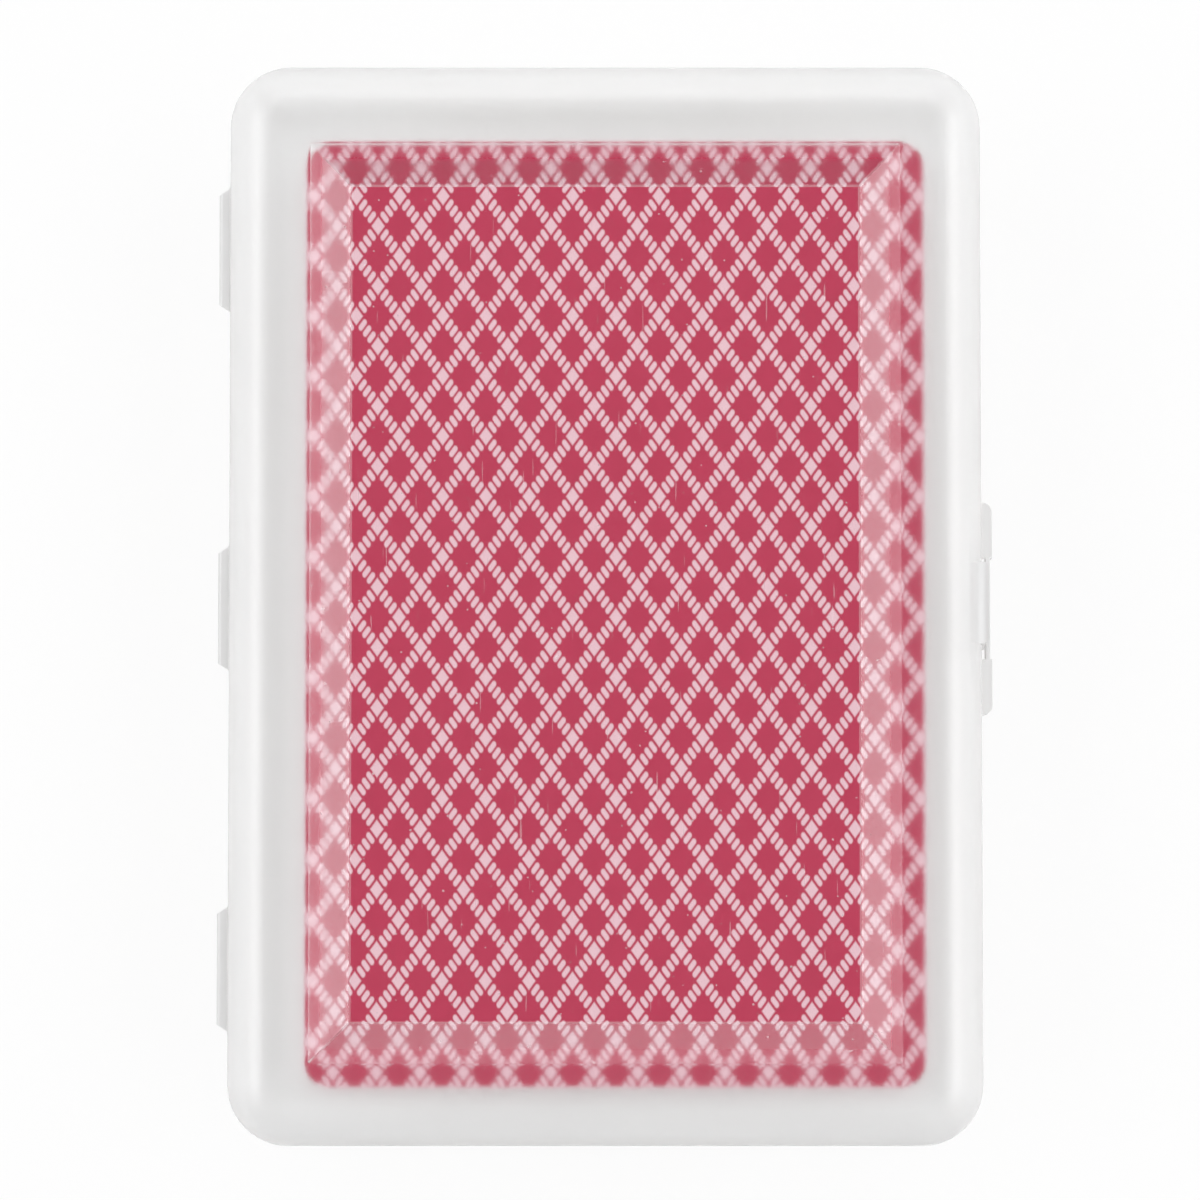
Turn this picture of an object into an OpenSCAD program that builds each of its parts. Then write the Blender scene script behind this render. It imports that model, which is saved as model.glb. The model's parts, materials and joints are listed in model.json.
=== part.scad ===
// Deck of playing cards in a clear snap case that is moulded in two trays joined by film hinges.
// Millimetres, +Z up. Origin: middle of the underside. Hinges on -X, latch on +X, card backs up.

/* [Cards] */
// Width of one card
card_w = 57.5; // [54:0.5:60]
// Length of one card
card_l = 88; // [84:0.5:92]
// Corner radius of one card
card_r = 2.5; // [1.5:0.1:4]
// Thickness of one card
card_t = 0.28; // [0.26:0.01:0.32]
// Air between neighbouring cards
card_gap = 0.01; // [0.005:0.005:0.02]
// Furthest that a card lies off the squared stack
card_stray = 0.12; // [0:0.02:0.2]
// Cards that the last cut brought from the bottom of the deck to its top
cut_cards = 6; // [0:1:53]
// How far the deck lies off the middle of the case, across
deck_x = 0.9; // [-2:0.1:2]
// How far the deck lies off the middle of the case, along
deck_y = -0.9; // [-2:0.1:2]

/* [Case] */
// Room beside the deck, from a card's long edge to the wall
room_x = 5; // [4:0.1:8]
// Room beyond the deck, from a card's short edge to the wall
room_y = 5; // [4:0.1:8]
// Thickness of the side walls
wall = 1.3; // [1.1:0.1:1.6]
// Thickness of the floor and of the lid's top
sheet = 1.1; // [0.8:0.1:1.4]
// Radius of the upright corners
corner_r = 5.7; // [4.6:0.1:7]
// Radius of the edge round the floor and round the lid's top
edge_r = 4; // [3:0.1:4.4]
// Width of the frame between the side wall's face and the sunk panel
frame_w = 11.4; // [10.4:0.2:14]
// Width of the slope that drops from the frame to the panel
bevel_w = 3.75; // [2.5:0.25:5]
// Depth of the sunk panel
sink = 1.6; // [1.2:0.1:2.4]
// Air between the top card and the lid's panel
deck_clear = 0.1; // [0.05:0.05:0.3]
// Air between the two rims of the shut case
rim_gap = 0.1; // [0.05:0.05:0.2]

/* [Hinges] */
// Distance from the end of the case to the middle of the nearest hinge
hinge_inset = 16.4; // [10:0.1:22]
// Length of a hinge tab at the wall
hinge_len = 12.1; // [9:0.1:14]
// Length of a hinge tab at its fold
hinge_tip_len = 10.3; // [7:0.1:11.5]
// How far a hinge tab stands out of the wall
hinge_reach = 1.4; // [1:0.05:1.8]
// How far the thick land of a hinge stands out of the wall
land_reach = 0.4; // [0.2:0.05:0.5]
// Height of the land on each tray
land_h = 1.2; // [0.8:0.1:2]
// Thickness of the film that folds
film_t = 0.2; // [0.15:0.05:0.25]
// Inside radius of the fold
fold_r = 0.2; // [0.15:0.05:0.25]

/* [Latch] */
// Length of the keeper on the base
keeper_len = 20; // [17:0.5:24]
// How far the keeper's ears stand out of the wall
keeper_reach = 1.4; // [1.3:0.05:1.8]
// Height of the keeper
keeper_h = 2.2; // [1.6:0.1:3]
// Radius on the outer corners of the ears
ear_r = 0.9; // [0.3:0.1:1.2]
// How far the bar between the ears lies behind them
bar_setback = 0.2; // [0.1:0.05:0.3]
// Thickness of the bar
bar_t = 0.45; // [0.4:0.05:0.5]
// Length of the slot that the tongue drops through
slot_len = 9.5; // [8.5:0.25:12]
// Width of the tongue
tongue_w = 7.5; // [5:0.1:8]
// Thickness of the tongue
tongue_t = 0.75; // [0.6:0.05:0.8]
// How far the boss that the tongue hangs from stands out of the wall
boss_proud = 0.25; // [0.15:0.05:0.4]
// Depth of the boss's flat top below the lid's top
boss_drop = 1.15; // [0.8:0.05:1.6]
// Height of the boss
boss_h = 1.6; // [1:0.1:2]
// Radius where the tongue meets the boss
root_r = 0.3; // [0.2:0.05:0.3]
// Depth of the hook under the bar
hook_d = 0.3; // [0.2:0.02:0.34]
// Height of the hook
hook_h = 1.3; // [1:0.1:1.8]
// Running clearance round the tongue
latch_clear = 0.07; // [0.05:0.01:0.1]
// Air at each side of the tongue in the lid's wall
side_clear = 0.15; // [0.1:0.05:0.3]
// How far the tip of the tongue can be pressed in
press = 0.4; // [0.36:0.02:0.44]

/* [Hidden] */
$fn = 64;
eps = 0.5;

SUITS = ["hearts", "clubs", "diamonds", "spades"];
RANKS = ["ace", "two", "three", "four", "five", "six", "seven",
         "eight", "nine", "ten", "jack", "queen", "king"];
JOKERS = ["card_joker_red", "card_joker_black"];
CARDS = concat([for (s = SUITS, r = RANKS) str("card_", s, "_", r)], JOKERS);
HINGES = ["hinge_film_bottom", "hinge_film_middle", "hinge_film_top"];

// Case: outside sizes follow from the deck and the room round it
case_w = card_w + 2 * room_x + 2 * wall;
case_l = card_l + 2 * room_y + 2 * wall;
card_pitch = card_t + card_gap;
deck_h = len(CARDS) * card_pitch - card_gap;
seat_z = sink + sheet;
case_h = 2 * seat_z + deck_h + deck_clear;
tray_h = (case_h - rim_gap) / 2;
part_z = case_h / 2;
panel_w = case_w - 2 * frame_w;
panel_l = case_l - 2 * frame_w;
slope_shift = sheet * tan(atan(sink / bevel_w) / 2);

// Hinges: the fold runs along Y at part_z
face_x = case_w / 2;
hinge_pitch = case_l / 2 - hinge_inset;
film_ro = fold_r + film_t;
fold_x = -face_x - hinge_reach + film_ro;
tab_taper = (hinge_len - hinge_tip_len) / 2 / hinge_reach;

// Latch: heights from the hook up to the boss, then faces along X
bar_z = tray_h - keeper_h;
hook_z = bar_z - latch_clear;
tip_z = hook_z - hook_h;
boss_z = case_h - boss_drop - boss_h;
pocket_z = tip_z - 2 * latch_clear;
boss_out = face_x + boss_proud;
bar_in = face_x + keeper_reach - bar_setback - bar_t;
tongue_out = bar_in - latch_clear;
lid_pocket = boss_out - tongue_t - root_r;
base_pocket = tongue_out - tongue_t - press - latch_clear;

// Outline of a tray's wall and floor, from the corner's centre outwards
module wall_profile() {
    inner_r = edge_r - wall;
    difference() {
        square([corner_r, tray_h]);
        translate([corner_r - edge_r, 0]) difference() {
            translate([0, -eps]) square([edge_r + eps, edge_r + eps]);
            translate([0, edge_r]) circle(edge_r);
        }
        translate([-eps, sheet + inner_r]) square([corner_r - wall + eps, tray_h]);
        translate([-eps, sheet]) square([corner_r - edge_r + eps, tray_h]);
        translate([corner_r - edge_r, sheet + inner_r]) circle(inner_r);
    }
}

// Four straight sides and four turned corners of a tray, with the flat floor between them
module tray_blank() {
    half = [case_w / 2 - corner_r, case_l / 2 - corner_r];
    for (turn = [0 : 3]) {
        along = turn % 2;
        rotate(90 * turn) {
            translate([half[along], 0, 0]) rotate([90, 0, 0])
                linear_extrude(2 * half[1 - along], center = true) wall_profile();
            translate([half[along], half[1 - along], 0]) rotate_extrude(angle = 90) wall_profile();
        }
    }
    translate([-half[0], -half[1], 0]) cube([2 * half[0], 2 * half[1], sheet]);
}

// Block with four sloping sides that meet in mitres, w0 by l0 at z = 0 and w1 by l1 at z = h
module mitred_block(w0, l0, w1, l1, h) {
    intersection() {
        rotate([90, 0, 0]) linear_extrude(case_l, center = true)
            polygon([[-w0 / 2, 0], [w0 / 2, 0], [w1 / 2, h], [-w1 / 2, h]]);
        rotate([90, 0, 90]) linear_extrude(case_w, center = true)
            polygon([[-l0 / 2, 0], [l0 / 2, 0], [l1 / 2, h], [-l1 / 2, h]]);
    }
}

// One tray, floor down: the panel in its floor is sunk from outside and stands up inside
module tray() {
    inside = 2 * slope_shift;
    mouth = 2 * bevel_w * (sink + eps) / sink;
    difference() {
        union() {
            tray_blank();
            translate([0, 0, sheet])
                mitred_block(panel_w + 2 * bevel_w + inside, panel_l + 2 * bevel_w + inside,
                             panel_w + inside, panel_l + inside, sink);
        }
        translate([0, 0, -eps])
            mitred_block(panel_w + mouth, panel_l + mouth, panel_w, panel_l, sink + eps);
    }
}

// The same tray turned over, as the lid
module turned_over() {
    translate([0, 0, case_h]) mirror([0, 0, 1]) children();
}

// Slice of a hinge tab between two distances from the wall, tapered in plan
module tab_slice(y, near, far, z0, z1) {
    half_near = hinge_len / 2 - near * tab_taper;
    half_far = hinge_len / 2 - far * tab_taper;
    translate([-face_x, y, z0]) linear_extrude(z1 - z0)
        polygon([[-near, -half_near], [-far, -half_far], [-far, half_far], [-near, half_near]]);
}

function hinge_y(i) = (i - 1) * hinge_pitch;

// Thick lands that a tray's hinge films grow from
module hinge_lands() {
    for (i = [0 : len(HINGES) - 1])
        tab_slice(hinge_y(i), -wall / 2, land_reach, tray_h - land_h, tray_h);
}

// Film hinge folded shut: two short legs and the round fold between them
module hinge_film(i) {
    leg = -face_x - land_reach - fold_x;
    color([0.94, 0.95, 0.96, 0.6]) intersection() {
        translate([fold_x, hinge_y(i), part_z]) rotate([90, 0, 0])
            linear_extrude(hinge_len, center = true) difference() {
                union() {
                    circle(film_ro);
                    translate([0, -film_ro]) square([leg, 2 * film_ro]);
                }
                circle(fold_r);
                translate([0, -fold_r]) square([leg + eps, 2 * fold_r]);
            }
        tab_slice(hinge_y(i), land_reach, hinge_reach, part_z - eps, part_z + eps);
    }
}

// Two rounded ears with a thinner bar between them, on the base's rim
module keeper() {
    reach = keeper_reach + wall / 2;
    translate([face_x - wall / 2, 0, bar_z]) linear_extrude(keeper_h) difference() {
        union() {
            translate([0, -keeper_len / 2]) square([reach - ear_r, keeper_len]);
            translate([0, ear_r - keeper_len / 2]) square([reach, keeper_len - 2 * ear_r]);
            for (end = [-1, 1])
                translate([reach - ear_r, end * (keeper_len / 2 - ear_r)]) circle(ear_r);
        }
        translate([reach - bar_setback, -slot_len / 2]) square([eps, slot_len]);
    }
}

// Upright box from x outwards, centred across the latch
module latch_box(x, length, depth, z0, z1) {
    translate([x, -length / 2, z0]) cube([depth, length, z1 - z0]);
}

module base_tray() {
    color([0.93, 0.94, 0.95, 0.45]) difference() {
        union() {
            tray();
            hinge_lands();
            keeper();
        }
        latch_box(base_pocket, slot_len, bar_in - base_pocket, pocket_z, tray_h + eps);
    }
}

module lid() {
    color([0.93, 0.94, 0.95, 0.45]) difference() {
        union() {
            turned_over() {
                tray();
                hinge_lands();
            }
            latch_box(face_x - wall, tongue_w, wall + boss_proud, boss_z, boss_z + boss_h);
        }
        latch_box(lid_pocket, tongue_w + 2 * side_clear, wall + eps, part_z - eps, boss_z);
    }
}

// Tongue: hangs from the boss on the lid, drops through the keeper and hooks under the bar
module latch_tongue() {
    root_in = boss_out - tongue_t;
    tongue_in = tongue_out - tongue_t;
    color([0.92, 0.93, 0.94, 0.55]) rotate([90, 0, 0])
        linear_extrude(tongue_w, center = true) difference() {
            polygon([[lid_pocket, boss_z - root_r], [lid_pocket, boss_z], [boss_out, boss_z],
                     [tongue_out, hook_z], [tongue_out + hook_d, hook_z],
                     [tongue_out - tongue_t / 2, tip_z], [tongue_in, tip_z],
                     [tongue_in, hook_z], [root_in, boss_z - root_r]]);
            translate([lid_pocket, boss_z - root_r]) circle(root_r);
        }
}

// Place of a card in the stack, 0 at the bottom, and how far it strays from under the top card
function place(i) = (i + len(CARDS) - floor(cut_cards)) % len(CARDS);
function stray(i, step) = card_stray * sin(step * (len(CARDS) - 1 - place(i)));

// One card, face down
module card(i) {
    color(place(i) % 2 == 0 ? "crimson" : "firebrick")
        translate([deck_x + stray(i, 97), deck_y + stray(i, 61), seat_z + place(i) * card_pitch])
            linear_extrude(card_t) {
                square([card_w - 2 * card_r, card_l], center = true);
                square([card_w, card_l - 2 * card_r], center = true);
                for (x = [-1, 1], y = [-1, 1])
                    translate([x * (card_w / 2 - card_r), y * (card_l / 2 - card_r)]) circle(card_r);
            }
}

base_tray();
lid();
latch_tongue();
for (i = [0 : len(HINGES) - 1])
    hinge_film(i);
for (i = [0 : len(CARDS) - 1])
    card(i);
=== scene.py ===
"""Looks for a deck of playing cards in a frosted clear hinged case."""

import json
import math

import bmesh
import bpy
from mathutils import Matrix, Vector

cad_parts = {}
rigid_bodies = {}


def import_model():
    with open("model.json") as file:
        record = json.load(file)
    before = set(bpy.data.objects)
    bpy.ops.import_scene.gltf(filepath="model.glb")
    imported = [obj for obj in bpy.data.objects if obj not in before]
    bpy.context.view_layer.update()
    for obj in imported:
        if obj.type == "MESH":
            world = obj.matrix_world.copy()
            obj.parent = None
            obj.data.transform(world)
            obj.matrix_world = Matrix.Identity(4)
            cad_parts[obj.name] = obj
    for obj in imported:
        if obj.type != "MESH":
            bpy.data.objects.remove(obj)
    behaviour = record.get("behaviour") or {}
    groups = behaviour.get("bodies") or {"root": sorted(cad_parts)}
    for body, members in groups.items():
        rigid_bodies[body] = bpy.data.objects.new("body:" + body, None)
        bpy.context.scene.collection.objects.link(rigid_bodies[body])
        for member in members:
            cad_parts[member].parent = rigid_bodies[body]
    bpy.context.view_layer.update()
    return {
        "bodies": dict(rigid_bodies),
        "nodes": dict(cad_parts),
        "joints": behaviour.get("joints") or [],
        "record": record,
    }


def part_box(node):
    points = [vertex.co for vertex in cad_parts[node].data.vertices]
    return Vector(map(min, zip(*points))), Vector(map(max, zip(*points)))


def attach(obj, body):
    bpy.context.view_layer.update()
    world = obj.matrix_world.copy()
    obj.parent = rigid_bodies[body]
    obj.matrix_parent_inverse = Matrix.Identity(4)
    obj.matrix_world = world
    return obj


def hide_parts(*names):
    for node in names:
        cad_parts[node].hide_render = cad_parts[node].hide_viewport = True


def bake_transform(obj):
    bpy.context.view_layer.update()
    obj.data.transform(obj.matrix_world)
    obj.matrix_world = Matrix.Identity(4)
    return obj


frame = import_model()
nodes = frame["nodes"]
scene = bpy.context.scene

MM = 0.001
CARDS = sorted((n for n in nodes if n.startswith("card_")), key=lambda n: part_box(n)[0].z)
TOP_CARD, BOTTOM_CARD = CARDS[-1], CARDS[0]
FILMS = [n for n in nodes if n.startswith("hinge_film_")]
PART_Z = (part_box("lid")[0].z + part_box("base_tray")[1].z) / 2


# Materials

class Tree:
    """Short calls for building a material's nodes."""

    def __init__(self, name):
        self.mat = bpy.data.materials.new(name)
        self.mat.use_nodes = True
        self.nt = self.mat.node_tree
        self.nt.nodes.clear()
        self.out = self.nt.nodes.new("ShaderNodeOutputMaterial")

    def node(self, kind, **settings):
        n = self.nt.nodes.new("ShaderNode" + kind)
        for key, value in settings.items():
            setattr(n, key, value)
        return n

    def link(self, source, target):
        self.nt.links.new(source, target)

    def put(self, socket, value):
        if isinstance(value, bpy.types.NodeSocket):
            self.link(value, socket)
        else:
            socket.default_value = value

    def math(self, operation, *values, clamp=False):
        n = self.node("Math", operation=operation, use_clamp=clamp)
        for socket, value in zip(n.inputs, values):
            self.put(socket, value)
        return n.outputs[0]

    def length(self, u, v):
        """Length of the flat vector u, v."""
        return self.math("SQRT", self.math("ADD", self.math("MULTIPLY", u, u),
                                           self.math("MULTIPLY", v, v)))

    def ramp(self, value, low, high, to_low=0.0, to_high=1.0):
        n = self.node("MapRange", interpolation_type="SMOOTHSTEP")
        for socket, v in zip(n.inputs, (value, low, high, to_low, to_high)):
            self.put(socket, v)
        return n.outputs[0]

    def mix(self, factor, a, b):
        """A colour between a and b."""
        n = self.node("Mix", data_type="RGBA")
        self.put(n.inputs["Factor"], factor)
        self.put(n.inputs[6], a)
        self.put(n.inputs[7], b)
        return n.outputs[2]

    def pick(self, factor, a, b):
        """A number between a and b."""
        n = self.node("Mix", data_type="FLOAT")
        self.put(n.inputs["Factor"], factor)
        self.put(n.inputs[2], a)
        self.put(n.inputs[3], b)
        return n.outputs[0]

    def noise(self, vector, scale, detail):
        n = self.node("TexNoise")
        self.put(n.inputs["Vector"], vector)
        self.put(n.inputs["Scale"], scale)
        self.put(n.inputs["Detail"], detail)
        return n.outputs["Fac"]

    def turned(self, vector, angle, scale):
        n = self.node("Mapping")
        self.put(n.inputs["Vector"], vector)
        n.inputs["Rotation"].default_value = (0, 0, math.radians(angle))
        n.inputs["Scale"].default_value = scale
        return n.outputs[0]

    def place(self):
        return self.node("TexCoord").outputs["Object"]

    def upward(self):
        """How far the surface faces up, from -1 to 1."""
        return self.split(self.node("TexCoord").outputs["Normal"])[2]

    def split(self, vector):
        n = self.node("SeparateXYZ")
        self.link(vector, n.inputs[0])
        return n.outputs

    def face_value(self, name):
        """A value that the mesh keeps on its faces."""
        return self.node("Attribute", attribute_name=name).outputs["Fac"]

    def bump(self, height, strength, distance):
        n = self.node("Bump")
        self.put(n.inputs["Strength"], strength)
        self.put(n.inputs["Distance"], distance)
        self.put(n.inputs["Height"], height)
        return n.outputs[0]

    def principled(self, **values):
        n = self.node("BsdfPrincipled")
        for key, value in values.items():
            self.put(n.inputs[key.replace("_", " ")], value)
        self.link(n.outputs[0], self.out.inputs["Surface"])
        return n

    def mix_shaders(self, factor, a, b):
        n = self.node("MixShader")
        self.put(n.inputs[0], factor)
        self.link(a.outputs[0], n.inputs[1])
        self.link(b.outputs[0], n.inputs[2])
        self.link(n.outputs[0], self.out.inputs["Surface"])

    def pass_lamps(self, shader, share, sheet=0.0):
        """Lets that share of soft light straight through a clear shader, a surface at a time.

        Where sheet is 1, light that starts inside the plastic stays in, as its path would bend.
        """
        clear = self.node("BsdfTransparent")
        clear.inputs[0].default_value = (share, share, share, 1)
        path = self.node("LightPath").outputs
        soft = self.math("MAXIMUM", path["Is Shadow Ray"], path["Is Diffuse Ray"])
        first = self.math("LESS_THAN", path["Transparent Depth"], 0.5)
        leaving = self.math("MULTIPLY", self.node("NewGeometry").outputs["Backfacing"], first)
        kept = self.math("SUBTRACT", 1.0, self.math("MULTIPLY", leaving, sheet))
        self.mix_shaders(self.math("MULTIPLY", soft, kept), shader, clear)


def rgb(r, g, b):
    """An sRGB colour, 0 to 255, as linear light."""
    def linear(c):
        c /= 255.0
        return c / 12.92 if c <= 0.04045 else ((c + 0.055) / 1.055) ** 2.4
    return (linear(r), linear(g), linear(b), 1.0)


def greys(low, high):
    """Two greys, for a mix between them."""
    return rgb(low, low, low), rgb(high, high, high)


# Scale and detail of each noise
GRAIN_NOISE, FLOW_NOISE, CLOUD_NOISE = (2500.0, 2.0), (60.0, 3.0), (300.0, 3.0)
SPECK_NOISE, SCRATCH_NOISE = (2300.0, 0.0), (1100.0, 1.0)
FIBRE_NOISE, INK_NOISE = (1500.0, 2.0), (900.0, 2.0)

PLASTIC_IOR = 1.49
SHEET_PASS, MILKY_PASS = 0.97, 0.9
# The walls' grey is darker than the frame's: painted shade on the outer walls of the case
WALL_SHADE_TINT, FRAME_TINT = greys(240, 245), greys(247, 251)
SLOPE_TINT, PANEL_TINT, MILKY_TINT = greys(236, 242), greys(250, 254), greys(234, 242)
CASE_BUMP, MILKY_BUMP = (0.04, 0.02 * MM), (0.05, 0.1 * MM)
MILKY_CLEAR, MILKY_ROUGH, MILKY_GRAIN = 0.45, 0.3, 0.08

# How milky the case is, and how rough on its two faces, by part
MILK = {"side": 0.16, "edge": 0.46, "frame": 0.012, "window": 0.005, "crease": 0.16, "mark": 0.3}
OUTER_ROUGH = {"wall": 0.42, "frame": 0.34, "slope": 0.1, "panel": 0.06}
INNER_ROUGH = {"wall": 0.35, "frame": 0.24, "slope": 0.58, "panel": 0.14}
OUTER_GRAIN, INNER_GRAIN = 0.03, 0.06
MATT_LEAN_X, MATT_LEAN_Y = 4.0, 2.4

# Distances in from the outside, over which one part of the case gives way to the next
WALL_ZONE = 1.6 * MM, 6.0 * MM
FLAT_ZONE = 4.6 * MM, 6.0 * MM
SLOPE_ZONE = 7.3 * MM, 7.9 * MM
MATT_ZONE = 8.7 * MM, 9.2 * MM
PANEL_ZONE = 11.1 * MM, 11.5 * MM
# Share of facing up, over which a wall's side gives way to its edge
SIDE_TO_EDGE = 0.1, 0.5

# Noise levels over which a mark comes up, and how the scratches run
SPECK_LEVEL, SCRATCH_LEVEL, SCRATCH_DEPTH = (0.825, 0.86), (0.775, 0.81), 0.6
SCRATCH_ANGLES, SCRATCH_STRETCH = (12, 71, 128), (3.2, 0.16, 1.0)

# Half the width and length of the lid's walls, measured above the hinges and the latch
LAND_DROP = 4.2 * MM
lid_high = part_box("lid")[1]
HALF_X = max(abs(v.co.x) for v in nodes["lid"].data.vertices if v.co.z > lid_high.z - LAND_DROP)
HALF_Y = lid_high.y


def wear(t, where):
    """1 on hairline scratches and specks, 0 between them."""
    marks = t.ramp(t.noise(where, *SPECK_NOISE), *SPECK_LEVEL)
    for angle in SCRATCH_ANGLES:
        streak = t.noise(t.turned(where, angle, SCRATCH_STRETCH), *SCRATCH_NOISE)
        marks = t.math("MAXIMUM", marks, t.ramp(streak, *SCRATCH_LEVEL, 0.0, SCRATCH_DEPTH))
    return marks


def case_plastic():
    """Milky walls, a satin frame, slopes matt inside, a clear panel and a little wear."""
    t = Tree("case_plastic")
    where = t.place()
    x, y, _ = t.split(where)
    inset = t.math("MINIMUM", t.math("SUBTRACT", HALF_X, t.math("ABSOLUTE", x)),
                   t.math("SUBTRACT", HALF_Y, t.math("ABSOLUTE", y)))
    inner, crease = t.face_value("inner"), t.face_value("crease")
    grain = t.noise(where, *GRAIN_NOISE)
    in_frame = t.ramp(inset, *WALL_ZONE)
    in_slope, in_panel = t.ramp(inset, *MATT_ZONE), t.ramp(inset, *PANEL_ZONE)

    flow = t.noise(where, *FLOW_NOISE)
    # The outer walls take the darker grey, as painted shade, giving way to the frame's grey
    colour = t.mix(in_frame, t.mix(flow, *WALL_SHADE_TINT), t.mix(flow, *FRAME_TINT))
    colour = t.mix(in_slope, colour, t.mix(flow, *SLOPE_TINT))
    colour = t.mix(in_panel, colour, t.mix(flow, *PANEL_TINT))

    def zones(wall, frame, slope, panel):
        edge = t.ramp(inset, *WALL_ZONE, wall - frame, 0.0)
        rest = t.math("ADD", t.ramp(inset, *MATT_ZONE, frame, slope),
                      t.ramp(inset, *PANEL_ZONE, 0.0, panel - slope))
        return t.math("ADD", edge, rest)

    lean = t.math("SUBTRACT", t.math("MULTIPLY", y, MATT_LEAN_Y),
                  t.math("MULTIPLY", x, MATT_LEAN_X))
    lean = t.math("MULTIPLY", lean, t.math("SUBTRACT", in_slope, in_panel))
    matt = t.math("MULTIPLY_ADD", grain, INNER_GRAIN, zones(*INNER_ROUGH.values()))
    satin = t.math("MULTIPLY_ADD", grain, OUTER_GRAIN, zones(*OUTER_ROUGH.values()))
    rough = t.pick(inner, satin, t.math("ADD", matt, lean))

    wall = t.ramp(t.math("ABSOLUTE", t.upward()), *SIDE_TO_EDGE,
                  MILK["side"] - MILK["frame"], MILK["edge"] - MILK["frame"])
    milk = t.math("ADD", t.math("MULTIPLY", t.ramp(inset, *WALL_ZONE, 1.0, 0.0), wall),
                  t.ramp(inset, *SLOPE_ZONE, MILK["frame"], MILK["window"]))
    marks = t.math("MULTIPLY", wear(t, where), t.ramp(inset, *SLOPE_ZONE, 0.0, MILK["mark"]))
    marks = t.math("MULTIPLY", marks, t.math("SUBTRACT", 1.0, inner))
    lines = t.math("MAXIMUM", marks, t.math("MULTIPLY", crease, MILK["crease"]))
    milk = t.math("MAXIMUM", milk, lines)
    shader = t.principled(
        Base_Color=colour, Roughness=rough, IOR=PLASTIC_IOR,
        Transmission_Weight=t.math("SUBTRACT", 1.0, milk), Normal=t.bump(grain, *CASE_BUMP),
    )
    t.pass_lamps(shader, SHEET_PASS, t.ramp(inset, *FLAT_ZONE))
    return t.mat


def milky_plastic():
    """The same plastic where it is thick or worked, which looks whiter."""
    t = Tree("milky_plastic")
    where = t.place()
    grain = t.noise(where, *GRAIN_NOISE)
    shader = t.principled(
        Base_Color=t.mix(t.noise(where, *CLOUD_NOISE), *MILKY_TINT),
        Roughness=t.math("MULTIPLY_ADD", grain, MILKY_GRAIN, MILKY_ROUGH), IOR=PLASTIC_IOR,
        Transmission_Weight=MILKY_CLEAR, Normal=t.bump(grain, *MILKY_BUMP),
    )
    t.pass_lamps(shader, MILKY_PASS)
    return t.mat


# Print of the card back: half diagonals of a diamond, then shares of it
LATTICE_A, LATTICE_B = 4.03 * MM, 5.62 * MM
PRINT_X, PRINT_Y = 0.09 * MM, -0.41 * MM
NODE_HALF = 0.152
PILL_HALF_W, PILL_HALF_L, PILL_STEP = 0.072, 0.158, 0.2033
INK_EDGE = 0.03
CARD_RIM, RIM_FADE, RIM_SHARE = 0.25 * MM, 0.3, 0.75


def lattice(t, x, y):
    """1 on the pale figures of the card back, 0 on the red ground."""
    s, r = t.math("DIVIDE", x, LATTICE_A), t.math("DIVIDE", y, LATTICE_B)
    along, apart = [], []
    for value in (t.math("ADD", s, r), t.math("SUBTRACT", s, r)):
        off = t.math("ABSOLUTE", t.math("SUBTRACT", t.math("FRACT", value), 0.5))
        along.append(t.math("SUBTRACT", 0.5, off))
        to_side = t.math("ABSOLUTE", t.math("SUBTRACT", off, PILL_STEP))
        apart.append(t.math("MINIMUM", off, to_side))
    far = t.math("SUBTRACT", t.math("MAXIMUM", along[0], along[1]), NODE_HALF)
    for i in (0, 1):
        over = t.math("SUBTRACT", along[1 - i], PILL_HALF_L - PILL_HALF_W)
        pill = t.length(apart[i], t.math("MAXIMUM", over, 0.0))
        far = t.math("MINIMUM", far, t.math("SUBTRACT", pill, PILL_HALF_W))
    return t.ramp(far, INK_EDGE, -INK_EDGE)


PIP_H, PIP_X, PIP_Y, PIP_TALL = 3.6 * MM, 10.5 * MM, 24.0 * MM, 1.15
INDEX_X, INDEX_Y, INDEX_PIP_Y, INDEX_PIP_H = 24.6 * MM, 38.2 * MM, 32.6 * MM, 1.45 * MM
DIGIT_W, DIGIT_H, DIGIT_STROKE, DIGIT_FOOT = 1.5 * MM, 2.3 * MM, 0.36 * MM, -0.4
FACE_INK_EDGE = 0.03 * MM


def heart(t, u, v, h):
    """Distance out of a heart whose square half has half diagonal h."""
    u, v = t.math("ABSOLUTE", u), t.math("DIVIDE", v, PIP_TALL)
    square = t.math("SUBTRACT", t.math("ADD", u, t.math("ABSOLUTE", v)), h)
    lobe = t.length(t.math("SUBTRACT", u, h / 2), t.math("SUBTRACT", v, h / 2))
    return t.math("MINIMUM", t.math("DIVIDE", square, math.sqrt(2)),
                  t.math("SUBTRACT", lobe, h / math.sqrt(2)))


def stroke(t, u, v, start, end):
    """Distance from a straight pen stroke."""
    run = (end[0] - start[0], end[1] - start[1])
    du, dv = t.math("SUBTRACT", u, start[0]), t.math("SUBTRACT", v, start[1])
    along = t.math("ADD", t.math("MULTIPLY", du, run[0]), t.math("MULTIPLY", dv, run[1]))
    along = t.math("DIVIDE", along, run[0] ** 2 + run[1] ** 2, clamp=True)
    return t.length(t.math("SUBTRACT", du, t.math("MULTIPLY", along, run[0])),
                    t.math("SUBTRACT", dv, t.math("MULTIPLY", along, run[1])))


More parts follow.
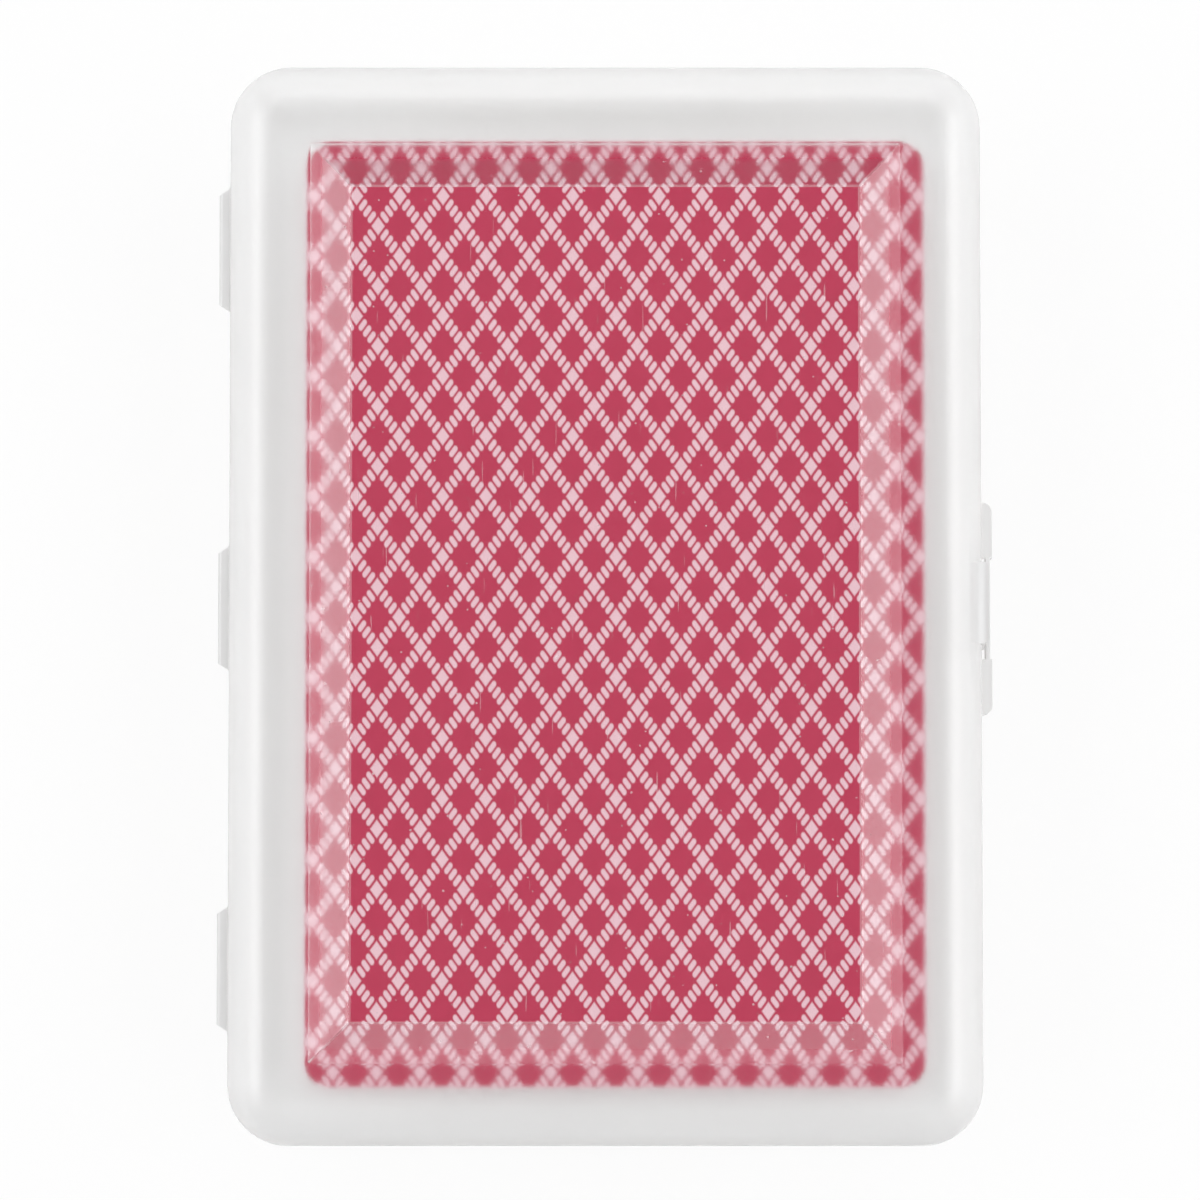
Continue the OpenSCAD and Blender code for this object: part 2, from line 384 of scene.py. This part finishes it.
def seven_of_hearts(t, u, v):
    """1 on the red print of the face, 0 on the paper."""
    side = t.math("SUBTRACT", t.math("ABSOLUTE", u), PIP_X)
    far = heart(t, side, t.math("SUBTRACT", t.math("ABSOLUTE", v), PIP_Y), PIP_H)
    far = t.math("MINIMUM", far, heart(t, side, v, PIP_H))
    far = t.math("MINIMUM", far, heart(t, u, t.math("SUBTRACT", v, PIP_Y / 2), PIP_H))
    turn = t.math("SIGN", v)
    u = t.math("ADD", t.math("MULTIPLY", u, turn), INDEX_X)
    v = t.math("ABSOLUTE", v)
    far = t.math("MINIMUM", far, heart(t, u, t.math("SUBTRACT", v, INDEX_PIP_Y), INDEX_PIP_H))
    v = t.math("SUBTRACT", v, INDEX_Y)
    bar = stroke(t, u, v, (-DIGIT_W, DIGIT_H), (DIGIT_W, DIGIT_H))
    leg = stroke(t, u, v, (DIGIT_W, DIGIT_H), (DIGIT_FOOT * DIGIT_W, -DIGIT_H))
    far = t.math("MINIMUM", far, t.math("SUBTRACT", t.math("MINIMUM", bar, leg), DIGIT_STROKE))
    return t.ramp(far, FACE_INK_EDGE, -FACE_INK_EDGE)


BACK_INK = rgb(184, 37, 74), rgb(194, 45, 83)
BACK_PALE = rgb(236, 194, 204), rgb(242, 202, 211)
FACE_INK = rgb(196, 24, 40), rgb(206, 32, 48)
FACE_PAPER = rgb(238, 236, 232), rgb(250, 249, 246)
EDGE_PAPER = rgb(236, 232, 226), rgb(250, 248, 244)
CARD_SPECULAR, CARD_BUMP = 0.35, (0.05, 0.1 * MM)
COAT_ROUGH, COAT_FIBRE, PLAIN_ROUGH = 0.28, 0.08, 0.32
FACES_UP = 0.5


def coat(t, colour, fibre):
    """Coated card: a satin surface that follows the paper a little."""
    rough = t.math("MULTIPLY_ADD", fibre, COAT_FIBRE, COAT_ROUGH)
    t.principled(Base_Color=colour, Roughness=rough, Specular_IOR_Level=CARD_SPECULAR,
                 Normal=t.bump(fibre, *CARD_BUMP))
    return t.mat


def card_face():
    """White coated card with a red seven of hearts on its underside."""
    t = Tree("card_face")
    low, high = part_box(BOTTOM_CARD)
    middle = (low + high) / 2
    where = t.place()
    x, y, _ = t.split(where)
    fibre = t.noise(where, *FIBRE_NOISE)
    paper = t.mix(fibre, *FACE_PAPER)
    ink = t.mix(t.noise(where, *INK_NOISE), *FACE_INK)
    figure = seven_of_hearts(t, t.math("SUBTRACT", middle.x, x), t.math("SUBTRACT", y, middle.y))
    figure = t.math("MULTIPLY", figure, t.math("LESS_THAN", t.upward(), -FACES_UP))
    return coat(t, t.mix(figure, paper, ink), fibre)


def card_stock(name, fine):
    """Red lattice back, white cut edge and face."""
    t = Tree(name)
    low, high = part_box(TOP_CARD)
    middle, half = (low + high) / 2, (high - low) / 2
    where = t.place()
    x, y, _ = t.split(where)
    x, y = t.math("SUBTRACT", x, middle.x), t.math("SUBTRACT", y, middle.y)
    figure = lattice(t, t.math("SUBTRACT", x, PRINT_X), t.math("SUBTRACT", y, PRINT_Y))
    fibre = t.noise(where, *FIBRE_NOISE)
    pale = t.mix(fibre, *BACK_PALE)
    back = t.mix(figure, t.mix(t.noise(where, *INK_NOISE), *BACK_INK), pale)
    edge = t.math("MAXIMUM", t.math("SUBTRACT", t.math("ABSOLUTE", x), half.x),
                  t.math("SUBTRACT", t.math("ABSOLUTE", y), half.y))
    back = t.mix(t.ramp(edge, -CARD_RIM, -RIM_FADE * CARD_RIM, 0.0, RIM_SHARE), back, pale)
    up = t.math("GREATER_THAN", t.upward(), FACES_UP)
    colour = t.mix(up, t.mix(fibre, *EDGE_PAPER), back)
    if fine:
        return coat(t, colour, fibre)
    t.principled(Base_Color=colour, Roughness=PLAIN_ROUGH, Specular_IOR_Level=CARD_SPECULAR)
    return t.mat


# Pieces

# Width and steps of the rounding on a tray's edges, and the angles that tell the edges apart
CREASE = {"frame": (1.2 * MM, 8), "panel": (0.12 * MM, 3), "rim": (0.12 * MM, 2)}
CREASE_LOW, CREASE_HIGH, RIM_LOW = math.radians(15), math.radians(40), math.radians(60)
CREASE_MIN = 4 * MM
SAME_PLACE, SAME_PLANE = 0.001 * MM, math.radians(0.3)
SIDE_REACH, UP_WEIGHT = 10 * MM, 3
SHELL_SHARP, FILM_SHARP = math.radians(35), math.radians(40)


def piece_from(bm, name, body, material):
    """An object from a mesh, on a body unless that is None."""
    mesh = bpy.data.meshes.new(name)
    bm.to_mesh(mesh)
    bm.free()
    obj = bpy.data.objects.new(name, mesh)
    scene.collection.objects.link(obj)
    mesh.materials.append(material)
    if body:
        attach(obj, body)
    return obj


def shell(node, name, body, material):
    """A tray with its moulded edges rounded over and its inside faces marked."""
    low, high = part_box(node)
    upright = 1 if node == "lid" else -1
    face_z, rim_z = (high.z, low.z) if upright > 0 else (low.z, high.z)
    bm = bmesh.new()
    bm.from_mesh(nodes[node].data)
    bmesh.ops.remove_doubles(bm, verts=bm.verts, dist=SAME_PLACE)
    bmesh.ops.dissolve_limit(bm, angle_limit=SAME_PLANE, verts=bm.verts, edges=bm.edges)

    def chosen(low_angle, high_angle, test):
        return [e for e in bm.edges if low_angle < e.calc_face_angle(0) < high_angle and test(e)]

    def at(e, z):
        return all(abs(v.co.z - z) < SAME_PLACE for v in e.verts)

    def soften(edges, width, segments):
        return bmesh.ops.bevel(bm, geom=edges, offset=width, offset_type="OFFSET", profile=0.5,
                               segments=segments, affect="EDGES", clamp_overlap=True)["faces"]

    crease = bm.faces.layers.float.new("crease")
    inner = bm.faces.layers.float.new("inner")
    folds = chosen(CREASE_LOW, CREASE_HIGH,
                   lambda e: e.calc_length() > CREASE_MIN and not at(e, face_z))
    for f in soften(folds, *CREASE["panel"]):
        f[crease] = 1.0
    soften(chosen(CREASE_LOW, CREASE_HIGH, lambda e: at(e, face_z)), *CREASE["frame"])
    soften(chosen(RIM_LOW, math.pi, lambda e: at(e, rim_z)), *CREASE["rim"])
    for f in bm.faces:
        c = f.calc_center_median()
        outward = max(-1.0, min(1.0, (f.normal.x * c.x + f.normal.y * c.y) / SIDE_REACH))
        f[inner] = float(UP_WEIGHT * f.normal.z * upright + outward < 0)
        f[crease] *= 1.0 - f[inner]
        f.smooth = True
    obj = piece_from(bm, name, body, material)
    obj.data.set_sharp_from_angle(angle=SHELL_SHARP)
    even = obj.modifiers.new("even_normals", "WEIGHTED_NORMAL")
    even.keep_sharp = True
    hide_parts(node)


FILM_T, FILM_STEPS = 0.2 * MM, 10
ROOT_GAP, TIP_BAND = 0.005 * MM, 0.05 * MM


def film(node, material):
    """Folded strap of a film hinge, from one tray's land to the other's."""
    low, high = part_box(node)
    middle = (low + high) / 2
    outer = (high.z - low.z) / 2
    root, tip = high.x - ROOT_GAP, low.x
    fold = tip + outer
    tip_half = max(abs(v.co.y - middle.y) for v in nodes[node].data.vertices
                   if v.co.x < tip + TIP_BAND)
    root_half = (high.y - low.y) / 2

    def path(radius):
        bend = [math.radians(-90 - 180 * i / FILM_STEPS) for i in range(FILM_STEPS + 1)]
        arc = [(fold + radius * math.cos(a), middle.z + radius * math.sin(a)) for a in bend]
        return [(root, middle.z - radius)] + arc + [(root, middle.z + radius)]

    bm = bmesh.new()
    rows = []
    for x, z in path(outer) + path(outer - FILM_T)[::-1]:
        half = root_half + (tip_half - root_half) * (root - x) / (root - tip)
        rows.append([bm.verts.new((x, middle.y + side * half, z)) for side in (-1, 1)])
    count = len(rows)
    for i in range(count):
        a, b = rows[i], rows[(i + 1) % count]
        bm.faces.new((a[0], a[1], b[1], b[0]))
    for side in (0, 1):
        for i in range(count // 2 - 1):
            ring = (rows[i], rows[i + 1], rows[count - 2 - i], rows[count - 1 - i])
            bm.faces.new([r[side] for r in ring])
    bmesh.ops.recalc_face_normals(bm, faces=bm.faces)
    for f in bm.faces:
        f.smooth = True
    obj = piece_from(bm, node.replace("hinge_film", "film_strap"), None, material)
    obj.data.set_sharp_from_angle(angle=FILM_SHARP)
    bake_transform(obj)
    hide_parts(node)


CARD_R, CARD_STEPS = 2.5 * MM, 10
CUT_R, CUT_OUT = 0.04 * MM, 0.01 * MM
FACE_LIFT = 0.03 * MM
CORNERS = (1, 1), (-1, 1), (-1, -1), (1, -1)


def cut_card(node, name, material, lift=0.0):
    """A card with rounded corners and the soft rim that die cutting leaves."""
    low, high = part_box(node)
    middle, half = (low + high) / 2, (high - low) / 2
    bm = bmesh.new()

    def ring(z, inset):
        verts = []
        r = CARD_R + CUT_OUT - inset
        for i in range(4 * (CARD_STEPS + 1)):
            corner, step = divmod(i, CARD_STEPS + 1)
            a = math.radians(90 * (corner + step / CARD_STEPS))
            sx, sy = CORNERS[corner]
            verts.append(bm.verts.new((middle.x + sx * (half.x - CARD_R) + r * math.cos(a),
                                       middle.y + sy * (half.y - CARD_R) + r * math.sin(a), z)))
        return verts

    bottom, top = low.z + lift, high.z
    rings = [ring(bottom, CUT_R), ring(bottom + CUT_R, 0.0),
             ring(top - CUT_R, 0.0), ring(top, CUT_R)]
    for a, b in zip(rings, rings[1:]):
        for i in range(len(a)):
            j = (i + 1) % len(a)
            bm.faces.new((a[i], a[j], b[j], b[i]))
    bm.faces.new(rings[0][::-1])
    bm.faces.new(rings[-1])
    obj = piece_from(bm, name, "base", material)
    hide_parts(node)


plastic, milky, stock = case_plastic(), milky_plastic(), card_stock("card_stock", fine=False)
cut_card(TOP_CARD, "top_card", card_stock("card_back", fine=True))
cut_card(BOTTOM_CARD, "bottom_card", card_face(), lift=FACE_LIFT)
shell("lid", "lid_shell", "lid", plastic)
shell("base_tray", "base_shell", "base", plastic)
for name in FILMS:
    film(name, milky)
for name, obj in nodes.items():
    obj.data.materials.clear()
    obj.data.materials.append(stock if name in CARDS else milky)

# Floor, light and camera

FLOOR_SIZE, FLOOR_DROP = 3.0, 0.2 * MM
FLOOR_COLOUR, FLOOR_GLOW = (0.86, 0.86, 0.86, 1), 0.9


def floor_paint():
    """Pale floor that looks nearly white and still takes the object's shadow."""
    t = Tree("floor")
    path = t.node("LightPath").outputs
    seen = t.math("MAXIMUM", path["Is Camera Ray"],
                  t.math("MAXIMUM", path["Is Glossy Ray"], path["Is Transmission Ray"]))
    diffuse, glow = t.node("BsdfDiffuse"), t.node("Emission")
    t.put(diffuse.inputs["Color"], FLOOR_COLOUR)
    t.mix_shaders(t.math("MULTIPLY", seen, FLOOR_GLOW), diffuse, glow)
    return t.mat


bpy.ops.mesh.primitive_plane_add(size=FLOOR_SIZE, location=(0, 0, -FLOOR_DROP))
floor = bpy.context.object
floor.name = "floor"
floor.data.materials.append(floor_paint())

SKY_TOP, SKY_LOW, SKY_FRONT = 0.33, 1.0, 0.95
SKY_RISE, SKY_TURN = (0.15, 0.7), (-0.7, 0.1)


def studio_world():
    """Soft studio walls: pale at the horizon, dimmer overhead and a little dimmer in front."""
    world = bpy.data.worlds.new("studio")
    world.use_nodes = True
    nt = world.node_tree
    nt.nodes["Background"].inputs["Color"].default_value = (1, 1, 1, 1)
    level = nt.nodes["Background"].inputs["Strength"]
    split = nt.nodes.new("ShaderNodeSeparateXYZ")
    nt.links.new(nt.nodes.new("ShaderNodeTexCoord").outputs["Generated"], split.inputs[0])

    def ramp(source, low, high, to_low, to_high):
        n = nt.nodes.new("ShaderNodeMapRange")
        n.interpolation_type = "SMOOTHSTEP"
        nt.links.new(source, n.inputs[0])
        for socket, v in zip(n.inputs[1:], (low, high, to_low, to_high)):
            socket.default_value = v
        return n.outputs[0]

    times = nt.nodes.new("ShaderNodeMath")
    times.operation = "MULTIPLY"
    nt.links.new(ramp(split.outputs[2], *SKY_RISE, SKY_LOW, SKY_TOP), times.inputs[0])
    nt.links.new(ramp(split.outputs[1], *SKY_TURN, SKY_FRONT, 1.0), times.inputs[1])
    nt.links.new(times.outputs[0], level)
    return world


scene.world = studio_world()

LAMP_RANGE, LAMP_AIM = 0.9, Vector((0, 0, 0.01))
# Name, compass angle, height angle, width and height, radiance
LAMPS = (
    ("right_softbox", 0, 42, (0.68, 0.32), 4.0),
    ("left_softbox", 180, 42, (0.62, 0.32), 3.9),
    ("back_softbox", 90, 44, (0.68, 0.32), 2.0),
)


def softbox(name, azimuth, elevation, size, radiance):
    """A flat lamp that faces the object from a compass angle, counted from +X towards +Y."""
    a, e = math.radians(azimuth), math.radians(elevation)
    way = Vector((math.cos(a) * math.cos(e), math.sin(a) * math.cos(e), math.sin(e)))
    data = bpy.data.lights.new(name, "AREA")
    data.shape = "RECTANGLE"
    data.size, data.size_y = size
    # A flat lamp's radiance is a quarter of its power over its area
    data.energy = 4 * radiance * size[0] * size[1]
    obj = bpy.data.objects.new(name, data)
    obj.location = LAMP_AIM + LAMP_RANGE * way
    obj.rotation_euler = (-way).to_track_quat("-Z", "Y").to_euler()
    scene.collection.objects.link(obj)


for lamp in LAMPS:
    softbox(*lamp)

# Camera fitted to the photo's outline: focal length and offsets in its pixels
FRAME_PX, SENSOR = 1200.0, 36.0
FOCAL_PX, RANGE, TILT = 6372.0, 0.6, math.radians(3.7)
PX_OFF_X, PX_OFF_Y = 5.2, 8.6
CLIP_START = 0.01
middle = Vector((0, 0, PART_Z))
px = RANGE / FOCAL_PX
back = Vector((0, -math.sin(TILT), math.cos(TILT)))
up = Vector((0, math.cos(TILT), math.sin(TILT)))
aim = middle - Vector((PX_OFF_X * px, 0, 0)) + up * (PX_OFF_Y * px)
camera = bpy.data.objects.new("camera", bpy.data.cameras.new("camera"))
camera.data.sensor_width = SENSOR
camera.data.lens = FOCAL_PX / FRAME_PX * SENSOR
camera.location = aim + back * RANGE
camera.rotation_euler = (TILT, 0, 0)
camera.data.clip_start = CLIP_START
scene.collection.objects.link(camera)
scene.camera = camera

scene.cycles.max_bounces = 24
scene.cycles.transmission_bounces = 24
scene.cycles.glossy_bounces = 12
scene.cycles.diffuse_bounces = 5
scene.cycles.caustics_refractive = False
scene.cycles.caustics_reflective = False
scene.view_settings.view_transform = "Standard"
